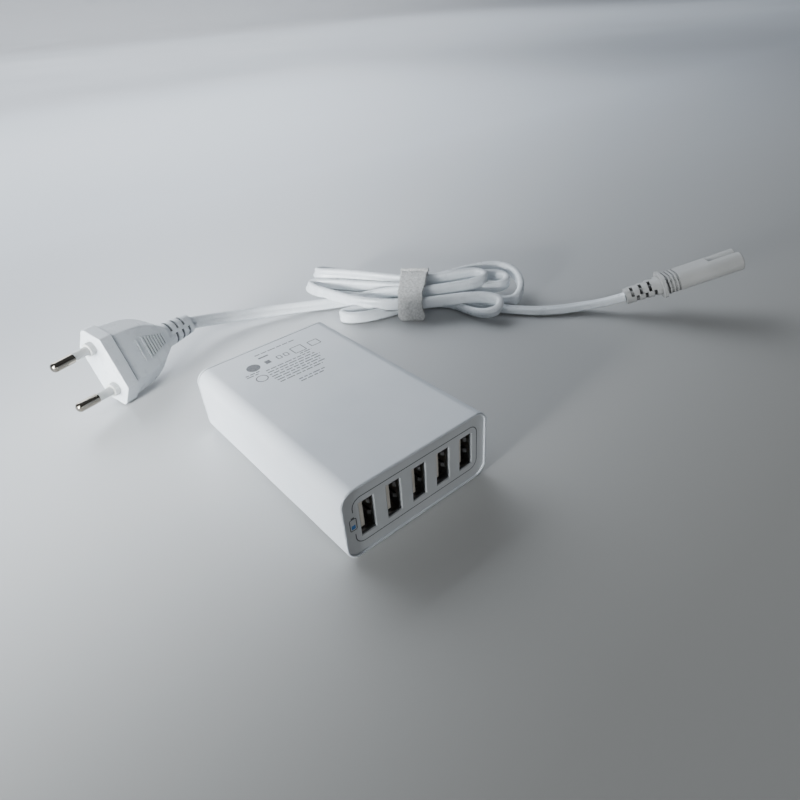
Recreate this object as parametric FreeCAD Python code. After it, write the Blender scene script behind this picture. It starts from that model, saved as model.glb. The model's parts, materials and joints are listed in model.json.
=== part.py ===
import FreeCAD, Part
import math
import os

from FreeCAD import Placement, Rotation, Vector

# Charger block, in millimetres: X is the width, ports face -Y, +Z is up
LENGTH = 91.0
HEIGHT = 26.4
CORNER_RADIUS = 5.0
WALL = 2.0
EDGE_ROUND = 0.4
FIT = 0.05

# Front panel in its pocket
LIP = 0.7
PANEL_RECESS = 0.7
PANEL_THICKNESS = 1.6
SHELL_SEAT = 0.4

# USB-A ports, standing on their narrow side
PORT_COUNT = 5
PORT_PITCH = 10.0
PORT_SIDE = 9.0
PORT_WIDTH = 5.12
PORT_HEIGHT = 12.5
PORT_LEAD_IN = 0.3
SHELL_SHEET = 0.3
SHELL_LENGTH = 14.0
TONGUE_DEPTH = 2.0
TONGUE_THICKNESS = 1.84
TONGUE_HEIGHT = 11.1
TONGUE_GAP = 0.72
TONGUE_CHAMFER = 0.35
INSULATOR_LENGTH = 3.0
CONTACT_OFFSETS = (-3.5, -1.0, 1.0, 3.5)
CONTACT_WIDTH = 1.0
CONTACT_THICKNESS = 0.2
CONTACT_SETBACK = 1.2
SPRING_DEPTH = 3.2
SPRING_LENGTH = 5.5
SPRING_WIDTH = 1.6
SPRING_SPACING = 4.6
SPRING_REACH = 0.7
SPRING_BACK_REACH = 0.4
SPRING_NOSE = 0.9
SPRING_SLIT = 0.3

# Rear cover behind a fine parting groove
COVER_RIM = 1.0
GROOVE_WIDTH = 0.35
GROOVE_DEPTH = 0.6
CLIP_WIDTH = 9.0
CLIP_THICKNESS = 1.3
CLIP_LENGTH = 6.0
CLIP_HOOK = 0.7
CLIP_HOOK_LENGTH = 1.6
CLIP_PLAY = 0.1

# Figure-8 mains inlet, standing on the board
PIN_PITCH = 8.6
INLET_LOBE = 4.4
INLET_WAIST = 3.1
INLET_DEPTH = 12.5
INLET_WALL = 1.9
INLET_FLOOR = 3.5
INLET_PIN_RADIUS = 1.2
INLET_PIN_LENGTH = 9.3
INLET_PIN_ROUND = 0.6
INLET_PIN_SHOULDER = 1.7

# Circuit board in the housing's rails
BOARD_THICKNESS = 1.6
BOARD_PLAY = 0.15
BOARD_SETBACK = 3.0
BOARD_REAR_ROOM = 4.5
RAIL_DEPTH = 1.4
RAIL_HEIGHT = 1.2

# Parts on the board
HEADROOM = 1.2
PART_SPACE = 1.5
PART_ROUND = 0.5
TRANSFORMER_WIDTH = 25.0
TRANSFORMER_DEPTH = 21.0
CORE_DEPTH = 8.0
CORE_LEG = 6.5
CORE_YOKE = 2.4
BOBBIN_BASE = 2.0
WINDING_PLAY = 0.15
WINDING_ROUND = 1.3
CHOKE_WIDTH = 16.0
CHOKE_DEPTH = 11.0
CHOKE_CORE_DEPTH = 5.0
CHOKE_LEG = 4.0
CHOKE_HEIGHT = 12.0
BULK_RADIUS = 5.0
BULK_COUNT = 2
OUTPUT_RADIUS = 4.0
OUTPUT_HEIGHT = 11.5
OUTPUT_COUNT = 3
CAN_RING_HEIGHT = 2.0
CAN_RING_DEPTH = 0.25
X_CAPACITOR = (13.0, 6.0, 11.0)
Y_CAPACITOR_RADIUS = 4.0
Y_CAPACITOR_THICKNESS = 3.5
FUSE_RADIUS = 4.2
FUSE_HEIGHT = 8.0
BRIDGE = (3.6, 12.0, 9.0)
SINK_SHEET = 1.5
SINK_LENGTH = 20.0
SINK_HEIGHT = 14.0
SINK_FOOT = 5.0
TRANSISTOR = (4.5, 10.0, 12.0)

# Two-pin mains plug: its own X runs along the pins, Y across them, Z through the body
PLUG_FACE_X = -49.4
PLUG_FACE_Y = 94.6
PLUG_YAW = 205.35
PLUG_PITCH = -4.97
PLUG_ROLL = -67.5
FLANGE_HALF_WIDTH = 17.8
FLANGE_BEND = 11.1
FLANGE_HALF_THICKNESS = 7.4
FLANGE_DEPTH = 5.8
FLANGE_STEP = 0.9
FLANGE_ROUND = 1.6
NECK_WIDTH = 0.8
NECK_DEPTH = 0.7
BODY_LENGTH = 33.0
BODY_SHOULDER = 5.8
BODY_END_THICKNESS = 5.4
BODY_STATIONS = ((0.0, 0.0), (0.36, 0.10), (0.66, 0.33), (0.86, 0.66), (1.0, 1.0))
GRIP_RIBS = 8
GRIP_PITCH = 1.5
GRIP_WIDTH = 0.75
GRIP_HEIGHT = 0.5
GRIP_LENGTH = 10.0
GRIP_SHORTENING = 0.75
GRIP_START = 18.4
GRIP_LINE = 15.2
RELIEF_LENGTH = 17.0
RELIEF_STEP = 0.9
RELIEF_END_HALF_WIDTH = 4.6
RELIEF_END_HALF_THICKNESS = 3.4
RELIEF_SLOTS = 3
SLOT_WIDTH = 1.4
SLOT_WALL = 0.5
PLUG_PIN_RADIUS = 2.0
PLUG_PIN_LENGTH = 19.0
PLUG_PIN_ROUND = 1.5
PLUG_PIN_BASE_SPACING = 18.6
PLUG_PIN_TIP_SPACING = 17.6
PIN_ROOT = 8.0
PIN_CORE_RADIUS = 1.5
SLEEVE_RADIUS = 1.8
SLEEVE_LENGTH = 9.4
BOSS_RADIUS = 2.8
BOSS_LENGTH = 2.4

# Flat twin flex and its hank on the table
CORD_WIDTH = 5.8
CORD_THICKNESS = 3.4
ARC_SHARE = 0.45
PLUG_END_ROUTE = (
    (4.5, 118.2, 9.6), (16.0, 118.2, 6.8), (30.0, 114.6, 4.6),
    (45.0, 109.0, 3.5), (58.0, 103.0, 3.0), (68.0, 96.0, 3.0),
)
CONNECTOR_END_ROUTE = (
    (119.0, 33.4, 2.2), (125.6, 23.9, 1.8), (131.6, 13.9, 1.8),
    (139.5, 5.7, 2.0), (148.3, -0.6, 2.9), (155.6, -6.9, 4.9),
)
HANK_X = 95.5
HANK_Y = 67.3
HANK_HEADING = -49.55
HANK_TOP = 16.0
HANK_FRONT = -13.0
HANK_BACK = 10.0
HANK_WAIST = 8.0
HANK_LEFT_LOBE = ((-32.0, -19.0), (-43.0, -14.0), (-60.0, 4.0), (-58.0, 18.0), (-46.0, 24.0), (-25.0, 20.0))
HANK_RIGHT_LOBE = ((30.0, 29.0), (48.0, 29.0), (59.0, 18.0), (57.0, 2.0), (42.0, -18.5))
HANK_ROUND = 3.0
TIE_LENGTH = 13.0
TIE_THICKNESS = 1.2

# Figure-8 connector: its own X runs from the cord to the nose, Y across the two holes
CONNECTOR_START = (161.6, -13.1, 8.0)
CONNECTOR_YAW = -42.9
CONNECTOR_PITCH = -19.2
CONNECTOR_ROLL = -12.0
NOSE_PLAY = 0.2
NOSE_STOP = 0.5
NOSE_ROUND = 0.6
HANDLE_LENGTH = 22.0
HANDLE_HALF_THICKNESS = 4.25
COLLAR_FLANGE_WIDTH = 1.5
COLLAR_FLANGE_HEIGHT = 1.2
RING_GROOVES = 4
RING_PITCH = 1.6
RING_WIDTH = 0.8
RING_DEPTH = 0.5
RING_START = 0.4
COLLAR_LENGTH = 16.0
COLLAR_START = (4.4, 3.6)
COLLAR_END = (6.2, 3.9)
HOLE_PLAY = 0.3
HOLE_MOUTH = 4.0
CONTACT_PLAY = 0.05
CONTACT_WALL = 0.5
CONTACT_LENGTH = 8.0

# Places worked out from the sizes above
TOUCH = 1e-4
UP = Vector(0, 0, 1)
ALONG_X = Vector(1, 0, 0)
ALONG_Y = Vector(0, 1, 0)
WIDTH = (PORT_COUNT - 1) * PORT_PITCH + 2 * PORT_SIDE
FRONT_Y = -LENGTH / 2
REAR_Y = LENGTH / 2
PORT_Z = HEIGHT / 2
SEAM_Y = REAR_Y - COVER_RIM - GROOVE_WIDTH
PANEL_Y = FRONT_Y + PANEL_RECESS
PANEL_BACK_Y = PANEL_Y + PANEL_THICKNESS
SHELL_Y = PANEL_BACK_Y - SHELL_SEAT
SHELL_BACK_Y = SHELL_Y + SHELL_LENGTH
SHELL_HALF_WIDTH = PORT_WIDTH / 2 + SHELL_SHEET
SHELL_HALF_HEIGHT = PORT_HEIGHT / 2 + SHELL_SHEET
INSULATOR_Y = SHELL_BACK_Y - INSULATOR_LENGTH
TONGUE_Y = PANEL_Y + TONGUE_DEPTH
INNER_HALF = WIDTH / 2 - WALL
CEILING = HEIGHT - WALL
BOARD_TOP = PORT_Z - SHELL_HALF_HEIGHT
BOARD_BOTTOM = BOARD_TOP - BOARD_THICKNESS
BOARD_HALF = INNER_HALF - 2 * BOARD_PLAY
BOARD_FRONT_Y = PANEL_BACK_Y + BOARD_SETBACK
BOARD_REAR_Y = SEAM_Y - BOARD_REAR_ROOM
PARTS_HALF = BOARD_HALF - RAIL_DEPTH - PART_SPACE
TALL = CEILING - HEADROOM - BOARD_TOP
OUTPUT_Y = SHELL_BACK_Y + PART_SPACE + OUTPUT_RADIUS
TRANSFORMER_Y = OUTPUT_Y + OUTPUT_RADIUS + PART_SPACE + TRANSFORMER_DEPTH / 2
BULK_Y = TRANSFORMER_Y + TRANSFORMER_DEPTH / 2 + PART_SPACE + BULK_RADIUS
CHOKE_Y = BOARD_REAR_Y - CHOKE_DEPTH / 2
CLIP_X = INNER_HALF - FIT
INLET_HALF_WIDTH = PIN_PITCH / 2 + INLET_LOBE + INLET_WALL
INLET_X = CLIP_X - CLIP_THICKNESS - FIT - INLET_HALF_WIDTH
INLET_FLOOR_Y = REAR_Y - INLET_DEPTH
INLET_FRONT_Y = INLET_FLOOR_Y - INLET_FLOOR
PLUG_LENGTH = BODY_LENGTH + RELIEF_LENGTH
BODY_HALF_WIDTH = FLANGE_HALF_WIDTH - FLANGE_STEP
BODY_HALF_THICKNESS = FLANGE_HALF_THICKNESS - FLANGE_STEP
NOSE_LOBE = INLET_LOBE - NOSE_PLAY
NOSE_WAIST = INLET_WAIST - NOSE_PLAY
NOSE_LENGTH = INLET_DEPTH + NOSE_STOP
NOSE_X = COLLAR_LENGTH + HANDLE_LENGTH
CONNECTOR_LENGTH = NOSE_X + NOSE_LENGTH
HOLE_RADIUS = INLET_PIN_RADIUS + HOLE_PLAY
CONTACT_BORE = INLET_PIN_RADIUS + CONTACT_PLAY
CONTACT_OUTER = CONTACT_BORE + CONTACT_WALL


def box(x0, x1, y0, y1, z0, z1):
    corner = Vector(min(x0, x1), min(y0, y1), min(z0, z1))
    return Part.makeBox(abs(x1 - x0), abs(y1 - y0), abs(z1 - z0), corner)


def port_level_box(x0, x1, y0, y1, half_height):
    return box(x0, x1, y0, y1, PORT_Z - half_height, PORT_Z + half_height)


def board_box(x0, x1, y_middle, depth, height):
    return box(x0, x1, y_middle - depth / 2, y_middle + depth / 2, BOARD_TOP, BOARD_TOP + height)


def parallel_edges(shape, axis):
    def runs_along(edge):
        direction = edge.Vertexes[-1].Point - edge.Vertexes[0].Point
        return direction.Length > 0 and direction.cross(axis).Length < TOUCH * direction.Length
    return [edge for edge in shape.Edges if runs_along(edge)]


def rim_edges(shape, y):
    def lies_at_y(edge):
        return abs(edge.BoundBox.YMin - y) < TOUCH and abs(edge.BoundBox.YMax - y) < TOUCH
    return [edge for edge in shape.Edges if lies_at_y(edge)]


def top_edges(shape):
    top = shape.BoundBox.ZMax
    return [edge for edge in shape.Edges if edge.BoundBox.ZMin > top - TOUCH]


def rounded_bar(width, height, radius, y0, y1):
    bar = port_level_box(-width / 2, width / 2, y0, y1, height / 2)
    return bar.makeFillet(radius, parallel_edges(bar, ALONG_Y))


def corner_arc(before, corner, after, reach):
    towards = (before - corner).normalize()
    onwards = (after - corner).normalize()
    half_angle = towards.getAngle(onwards) / 2
    radius = reach * math.tan(half_angle)
    inward = (towards + onwards).normalize()
    middle = corner + inward * (radius / math.sin(half_angle) - radius)
    return corner + towards * reach, middle, corner + onwards * reach, radius


def rounded_wire(points, radius):
    arcs = []
    for index, corner in enumerate(points):
        before = points[index - 1]
        after = points[(index + 1) % len(points)]
        half_angle = (before - corner).getAngle(after - corner) / 2
        arcs.append(corner_arc(before, corner, after, radius / math.tan(half_angle)))
    edges = []
    for index, (start, middle, end, _) in enumerate(arcs):
        edges.append(Part.Arc(start, middle, end).toShape())
        edges.append(Part.LineSegment(end, arcs[(index + 1) % len(arcs)][0]).toShape())
    return Part.Wire(edges)


def stadium_wire(x, half_width, half_thickness):
    flat = half_width - half_thickness
    right_low = Vector(x, flat, -half_thickness)
    right_high = Vector(x, flat, half_thickness)
    left_high = Vector(x, -flat, half_thickness)
    left_low = Vector(x, -flat, -half_thickness)
    return Part.Wire([
        Part.Arc(right_low, Vector(x, half_width, 0), right_high).toShape(),
        Part.LineSegment(right_high, left_high).toShape(),
        Part.Arc(left_high, Vector(x, -half_width, 0), left_low).toShape(),
        Part.LineSegment(left_low, right_low).toShape(),
    ])


def stadium_bar(x0, x1, half_width, half_thickness):
    return Part.Face(stadium_wire(x0, half_width, half_thickness)).extrude(Vector(x1 - x0, 0, 0))


# Charger block
def port_centres():
    return [(index - (PORT_COUNT - 1) / 2) * PORT_PITCH for index in range(PORT_COUNT)]


def housing():
    shell = rounded_bar(WIDTH, HEIGHT, CORNER_RADIUS, FRONT_Y, SEAM_Y)
    shell = shell.makeFillet(EDGE_ROUND, rim_edges(shell, FRONT_Y))
    cavity = rounded_bar(WIDTH - 2 * WALL, HEIGHT - 2 * WALL, CORNER_RADIUS - WALL, FRONT_Y, SEAM_Y)
    pocket = rounded_bar(WIDTH - 2 * LIP, HEIGHT - 2 * LIP, CORNER_RADIUS - LIP, FRONT_Y, PANEL_BACK_Y)
    shell = shell.cut(cavity).cut(pocket)
    under = BOARD_BOTTOM - BOARD_PLAY
    over = BOARD_TOP + BOARD_PLAY
    for side in (-1, 1):
        wall_x = side * (INNER_HALF + WALL / 2)
        tip_x = side * (INNER_HALF - RAIL_DEPTH)
        for low, high in ((under - RAIL_HEIGHT, under), (over, over + RAIL_HEIGHT)):
            shell = shell.fuse(box(wall_x, tip_x, SHELL_BACK_Y, BOARD_REAR_Y, low, high))
        shell = shell.cut(clip_hook(side, CLIP_PLAY))
    return shell.removeSplitter()


def front_panel():
    inset = LIP + FIT
    panel = rounded_bar(WIDTH - 2 * inset, HEIGHT - 2 * inset, CORNER_RADIUS - inset, PANEL_Y, PANEL_BACK_Y)
    seat = SHELL_SHEET + FIT
    low = PORT_Z - PORT_HEIGHT / 2
    high = PORT_Z + PORT_HEIGHT / 2
    for centre in port_centres():
        left = centre - PORT_WIDTH / 2
        right = centre + PORT_WIDTH / 2
        panel = panel.cut(box(left, right, PANEL_Y, PANEL_BACK_Y, low, high))
        panel = panel.cut(Part.makeWedge(
            left - PORT_LEAD_IN, PANEL_Y, low - PORT_LEAD_IN, low, left,
            right + PORT_LEAD_IN, PANEL_Y + PORT_LEAD_IN, high + PORT_LEAD_IN, high, right))
        panel = panel.cut(box(left - seat, right + seat, SHELL_Y, PANEL_BACK_Y, low - seat, high + seat))
    return panel


def spring_finger(wall_x, inward, reach, z):
    apex_y = PANEL_Y + SPRING_DEPTH
    root_y = apex_y + SPRING_LENGTH
    nose_y = apex_y - SPRING_NOSE
    sheet = -inward * SHELL_SHEET
    profile = [
        Vector(wall_x, root_y + SHELL_SHEET, 0), Vector(wall_x, root_y, 0),
        Vector(wall_x + inward * reach, apex_y, 0), Vector(wall_x, nose_y, 0),
    ]
    back = [point + Vector(sheet, 0, 0) for point in reversed(profile)]
    outline = Part.makePolygon(profile + back + profile[:1])
    outline.translate(Vector(0, 0, z - SPRING_WIDTH / 2))
    finger = Part.Face(outline).extrude(Vector(0, 0, SPRING_WIDTH))
    slit = SPRING_WIDTH / 2 + SPRING_SLIT
    window = box(wall_x, wall_x + 2 * sheet, nose_y - SPRING_SLIT, root_y, z - slit, z + slit)
    return window, finger


def usb_shell(centre):
    half = SHELL_HALF_WIDTH
    inner = PORT_WIDTH / 2
    tube = port_level_box(centre - half, centre + half, SHELL_Y, SHELL_BACK_Y, SHELL_HALF_HEIGHT)
    mouth = port_level_box(centre - inner, centre + inner, SHELL_Y, SHELL_BACK_Y, PORT_HEIGHT / 2)
    tube = tube.cut(mouth)
    for side, reach in ((1, SPRING_REACH), (-1, SPRING_BACK_REACH)):
        for level in (-1, 1):
            z = PORT_Z + level * SPRING_SPACING / 2
            window, finger = spring_finger(centre + side * inner, -side, reach, z)
            tube = tube.cut(window).fuse(finger)
    return tube.removeSplitter()


def tongue_faces(centre):
    back = centre - PORT_WIDTH / 2 + TONGUE_GAP
    return back, back + TONGUE_THICKNESS


def usb_tongue(centre):
    inner = PORT_WIDTH / 2 - FIT
    block = port_level_box(centre - inner, centre + inner, INSULATOR_Y, SHELL_BACK_Y, PORT_HEIGHT / 2 - FIT)
    back, face = tongue_faces(centre)
    tongue = port_level_box(back, face, TONGUE_Y, INSULATOR_Y, TONGUE_HEIGHT / 2)
    tongue = tongue.makeChamfer(TONGUE_CHAMFER, rim_edges(tongue, TONGUE_Y))
    return block.fuse(tongue).removeSplitter()


def usb_contacts(centre):
    face = tongue_faces(centre)[1]
    half = CONTACT_WIDTH / 2
    strips = []
    for offset in CONTACT_OFFSETS:
        z = PORT_Z + offset
        start = TONGUE_Y + CONTACT_SETBACK
        strips.append(box(face, face + CONTACT_THICKNESS, start, INSULATOR_Y, z - half, z + half))
    return Part.Compound(strips)


def clip_hook(side, play):
    end_y = SEAM_Y - CLIP_LENGTH - play
    start_y = SEAM_Y - CLIP_LENGTH + CLIP_HOOK_LENGTH + play
    tip_x = side * (INNER_HALF + CLIP_HOOK + play)
    return port_level_box(side * CLIP_X, tip_x, end_y, start_y, CLIP_WIDTH / 2 + play)


def rear_cover():
    rim_y = SEAM_Y + GROOVE_WIDTH
    rim = rounded_bar(WIDTH, HEIGHT, CORNER_RADIUS, rim_y, REAR_Y)
    rim = rim.makeFillet(EDGE_ROUND, rim_edges(rim, REAR_Y))
    inset = 2 * GROOVE_DEPTH
    neck = rounded_bar(WIDTH - inset, HEIGHT - inset, CORNER_RADIUS - GROOVE_DEPTH, SEAM_Y, rim_y)
    cover = rim.fuse(neck)
    for side in (-1, 1):
        inner_x = side * (CLIP_X - CLIP_THICKNESS)
        arm = port_level_box(side * CLIP_X, inner_x, SEAM_Y - CLIP_LENGTH, SEAM_Y, CLIP_WIDTH / 2)
        cover = cover.fuse(arm).fuse(clip_hook(side, 0.0))
    return cover.cut(inlet_block(FIT)).removeSplitter()


def inlet_block(play):
    half = INLET_HALF_WIDTH + play
    return port_level_box(INLET_X - half, INLET_X + half, INLET_FRONT_Y, REAR_Y, SHELL_HALF_HEIGHT + play)


def inlet_pin_axes():
    return [INLET_X - PIN_PITCH / 2, INLET_X + PIN_PITCH / 2]


def inlet_body():
    left, right = inlet_pin_axes()
    body = inlet_block(0.0).cut(port_level_box(left, right, INLET_FLOOR_Y, REAR_Y, INLET_WAIST))
    for x in (left, right):
        floor = Vector(x, INLET_FLOOR_Y, PORT_Z)
        back = Vector(x, INLET_FRONT_Y, PORT_Z)
        body = body.cut(Part.makeCylinder(INLET_LOBE, INLET_DEPTH, floor, ALONG_Y))
        body = body.cut(Part.makeCylinder(INLET_PIN_SHOULDER, INLET_FLOOR, back, ALONG_Y))
    return body.removeSplitter()


def inlet_pin(x):
    floor = Vector(x, INLET_FLOOR_Y, PORT_Z)
    pin = Part.makeCylinder(INLET_PIN_RADIUS, INLET_PIN_LENGTH, floor, ALONG_Y)
    pin = pin.makeFillet(INLET_PIN_ROUND, rim_edges(pin, INLET_FLOOR_Y + INLET_PIN_LENGTH))
    shoulder = Vector(x, INLET_FRONT_Y, PORT_Z)
    return pin.fuse(Part.makeCylinder(INLET_PIN_SHOULDER, INLET_FLOOR, shoulder, ALONG_Y))


def block_nodes():
    nodes = {"housing": housing(), "front_panel": front_panel(), "rear_cover": rear_cover()}
    for index, centre in enumerate(port_centres(), 1):
        nodes[f"usb_shell_{index}"] = usb_shell(centre)
        nodes[f"usb_tongue_{index}"] = usb_tongue(centre)
        nodes[f"usb_contacts_{index}"] = usb_contacts(centre)
    nodes["inlet_body"] = inlet_body()
    for index, x in enumerate(inlet_pin_axes(), 1):
        nodes[f"inlet_pin_{index}"] = inlet_pin(x)
    return nodes


# Circuit board and the parts that stand on it
def wound_core(x, y, base_z, top_z, width, depth, core_depth, leg):
    inner_x = leg / 2
    outer_x = width / 2 - leg / 2
    low = base_z + CORE_YOKE
    high = top_z - CORE_YOKE
    front = y - core_depth / 2
    back = y + core_depth / 2
    core = box(x - width / 2, x + width / 2, front, back, base_z, top_z)
    for side in (-1, 1):
        core = core.cut(box(x + side * inner_x, x + side * outer_x, front, back, low, high))
    wire_x = outer_x - WINDING_PLAY
    wire_low = low + WINDING_PLAY
    wire_high = high - WINDING_PLAY
    winding = box(x - wire_x, x + wire_x, y - depth / 2, y + depth / 2, wire_low, wire_high)
    winding = winding.makeFillet(WINDING_ROUND, parallel_edges(winding, UP))
    hole_x = inner_x + WINDING_PLAY
    hole = box(x - hole_x, x + hole_x, front - WINDING_PLAY, back + WINDING_PLAY, wire_low, wire_high)
    return core, winding.cut(hole)


def capacitor_can(x, y, radius, height):
    can = Part.makeCylinder(radius, height, Vector(x, y, BOARD_TOP))
    can = can.makeFillet(PART_ROUND, top_edges(can))
    ring_centre = Vector(x, y, BOARD_TOP + CAN_RING_HEIGHT)
    return can.cut(Part.makeTorus(radius + CAN_RING_DEPTH, 2 * CAN_RING_DEPTH, ring_centre))


def heat_sink(wall_side):
    face_x = wall_side * PARTS_HALF
    back_x = face_x - wall_side * SINK_SHEET
    foot_x = face_x - wall_side * SINK_FOOT
    front = TRANSFORMER_Y - SINK_LENGTH / 2
    back = TRANSFORMER_Y + SINK_LENGTH / 2
    top = BOARD_TOP + SINK_HEIGHT
    plate = box(face_x, back_x, front, back, BOARD_TOP, top)
    return plate.fuse(box(face_x, foot_x, front, back, top - SINK_SHEET, top)).removeSplitter()


def fuse_can(x):
    can = Part.makeCylinder(FUSE_RADIUS, FUSE_HEIGHT, Vector(x, CHOKE_Y, BOARD_TOP))
    return can.makeFillet(PART_ROUND, top_edges(can))


def disc_capacitor():
    y = INLET_FRONT_Y - PART_SPACE - Y_CAPACITOR_THICKNESS
    centre = Vector(INLET_X, y, BOARD_TOP + Y_CAPACITOR_RADIUS)
    disc = Part.makeCylinder(Y_CAPACITOR_RADIUS, Y_CAPACITOR_THICKNESS, centre, ALONG_Y)
    return disc.makeFillet(2 * PART_ROUND, rim_edges(disc, y) + rim_edges(disc, y + Y_CAPACITOR_THICKNESS))


def transformer_nodes():
    base = BOARD_TOP + BOBBIN_BASE
    core, winding = wound_core(
        0, TRANSFORMER_Y, base, BOARD_TOP + TALL, TRANSFORMER_WIDTH, TRANSFORMER_DEPTH, CORE_DEPTH, CORE_LEG)
    half = TRANSFORMER_WIDTH / 2
    bobbin = board_box(-half, half, TRANSFORMER_Y, TRANSFORMER_DEPTH, BOBBIN_BASE)
    return {"transformer_core": core, "transformer_winding": winding, "transformer_bobbin": bobbin}


def choke_nodes(left):
    core, winding = wound_core(
        left + CHOKE_WIDTH / 2, CHOKE_Y, BOARD_TOP, BOARD_TOP + CHOKE_HEIGHT,
        CHOKE_WIDTH, CHOKE_DEPTH, CHOKE_CORE_DEPTH, CHOKE_LEG)
    return {"line_choke_core": core, "line_choke_winding": winding}


def board_nodes():
    left = -PARTS_HALF
    right = PARTS_HALF
    board = box(-BOARD_HALF, BOARD_HALF, BOARD_FRONT_Y, BOARD_REAR_Y, BOARD_BOTTOM, BOARD_TOP)
    nodes = {"main_board": board, **transformer_nodes(), **choke_nodes(left)}
    for index in range(BULK_COUNT):
        x = left + BULK_RADIUS + index * (2 * BULK_RADIUS + PART_SPACE)
        nodes[f"bulk_capacitor_{index + 1}"] = capacitor_can(x, BULK_Y, BULK_RADIUS, TALL)
    for index in range(OUTPUT_COUNT):
        x = left + OUTPUT_RADIUS + index * (2 * OUTPUT_RADIUS + PART_SPACE)
        nodes[f"output_capacitor_{index + 1}"] = capacitor_can(x, OUTPUT_Y, OUTPUT_RADIUS, OUTPUT_HEIGHT)
    width, depth, height = X_CAPACITOR
    x_start = left + BULK_COUNT * (2 * BULK_RADIUS + PART_SPACE)
    x_capacitor = board_box(x_start, x_start + width, BULK_Y, depth, height)
    nodes["x_capacitor"] = x_capacitor.makeFillet(PART_ROUND, parallel_edges(x_capacitor, UP))
    nodes["y_capacitor"] = disc_capacitor()
    nodes["fuse"] = fuse_can(left + CHOKE_WIDTH + PART_SPACE + FUSE_RADIUS)
    nodes["output_heat_sink"] = heat_sink(-1)
    nodes["primary_heat_sink"] = heat_sink(1)
    width, depth, height = TRANSISTOR
    sink_x = right - SINK_SHEET
    transistor = board_box(sink_x - width, sink_x, TRANSFORMER_Y, depth, height)
    nodes["switch_transistor"] = transistor.makeChamfer(PART_ROUND, top_edges(transistor))
    width, depth, height = BRIDGE
    bridge = board_box(right - width, right, BULK_Y, depth, height)
    nodes["bridge_rectifier"] = bridge.makeChamfer(PART_ROUND, parallel_edges(bridge, ALONG_Y))
    return nodes


# Mains plug
def place_plug(shape, lift):
    rotation = Rotation(PLUG_YAW, PLUG_PITCH, PLUG_ROLL)
    shape.Placement = Placement(Vector(PLUG_FACE_X, PLUG_FACE_Y, lift), rotation)
    return shape


def hexagon_wire(x, half_width, half_thickness):
    bend = half_width * FLANGE_BEND / FLANGE_HALF_WIDTH
    corners = [
        Vector(x, half_width, 0), Vector(x, bend, half_thickness), Vector(x, -bend, half_thickness),
        Vector(x, -half_width, 0), Vector(x, -bend, -half_thickness), Vector(x, bend, -half_thickness),
    ]
    return rounded_wire(corners, FLANGE_ROUND)


def hexagon_bar(x0, x1, half_width, half_thickness):
    return Part.Face(hexagon_wire(x0, half_width, half_thickness)).extrude(Vector(x1 - x0, 0, 0))


def neck_groove():
    end = -FLANGE_DEPTH - NECK_WIDTH
    around = hexagon_bar(-FLANGE_DEPTH, end, FLANGE_HALF_WIDTH, FLANGE_HALF_THICKNESS)
    half_thickness = BODY_HALF_THICKNESS - NECK_DEPTH
    return around.cut(hexagon_bar(-FLANGE_DEPTH, end, BODY_HALF_WIDTH - NECK_DEPTH, half_thickness))


def body_half_thickness(along):
    return BODY_HALF_THICKNESS - along * along * (BODY_HALF_THICKNESS - BODY_END_THICKNESS)


def grip_rib(x, length, side):
    along = (-x - FLANGE_DEPTH) / (BODY_LENGTH - FLANGE_DEPTH)
    top = body_half_thickness(along) + GRIP_HEIGHT
    return box(x - GRIP_WIDTH / 2, x + GRIP_WIDTH / 2, -length / 2, length / 2, 0, side * top)


def slotted_relief(relief, x0, x1, half_width, half_thickness):
    step = (x1 - x0) / (RELIEF_SLOTS + 1)
    floor = CORD_THICKNESS / 2 + SLOT_WALL
    flank = CORD_WIDTH / 2 + SLOT_WALL
    for index in range(RELIEF_SLOTS):
        for side, face in ((-1, -1), (-1, 1), (1, -1), (1, 1)):
            x = x0 + (index + 1 + side * face / 4) * step
            start = x - SLOT_WIDTH / 2
            end = x + SLOT_WIDTH / 2
            near = side * SLOT_WIDTH / 2
            far = side * half_width
            roof = face * half_thickness
            relief = relief.cut(box(start, end, near, far, face * floor, roof))
            relief = relief.cut(box(start, end, side * flank, far, 0, roof))
    return relief


def plug_relief():
    start = stadium_wire(-BODY_LENGTH, BODY_SHOULDER, BODY_END_THICKNESS - RELIEF_STEP)
    end = stadium_wire(-PLUG_LENGTH, RELIEF_END_HALF_WIDTH, RELIEF_END_HALF_THICKNESS)
    relief = Part.makeLoft([start, end], True, True)
    return slotted_relief(relief, -BODY_LENGTH, -PLUG_LENGTH, BODY_SHOULDER, BODY_END_THICKNESS)


def plug_body():
    flange = hexagon_bar(0, -FLANGE_DEPTH, FLANGE_HALF_WIDTH, FLANGE_HALF_THICKNESS)
    front = [edge for edge in flange.Edges if edge.BoundBox.XMin > -FLANGE_DEPTH / 2]
    flange = flange.makeFillet(EDGE_ROUND, front)
    sections = []
    for along, narrowing in BODY_STATIONS:
        x = -FLANGE_DEPTH - along * (BODY_LENGTH - FLANGE_DEPTH)
        half_width = BODY_HALF_WIDTH - narrowing * (BODY_HALF_WIDTH - BODY_SHOULDER)
        sections.append(hexagon_wire(x, half_width, body_half_thickness(along)))
    plug = flange.fuse(Part.makeLoft(sections, True, False)).cut(neck_groove())
    for side in (-1, 1):
        plug = plug.fuse(grip_rib(-GRIP_LINE, GRIP_LENGTH, side))
        for index in range(GRIP_RIBS):
            length = GRIP_LENGTH - index * GRIP_SHORTENING
            plug = plug.fuse(grip_rib(-GRIP_START - index * GRIP_PITCH, length, side))
    plug = plug.fuse(plug_relief())
    for side in (-1, 1):
        plug = plug.cut(pin_cylinder(side, PIN_CORE_RADIUS, -PIN_ROOT, BOSS_LENGTH))
    return plug.removeSplitter()


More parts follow.
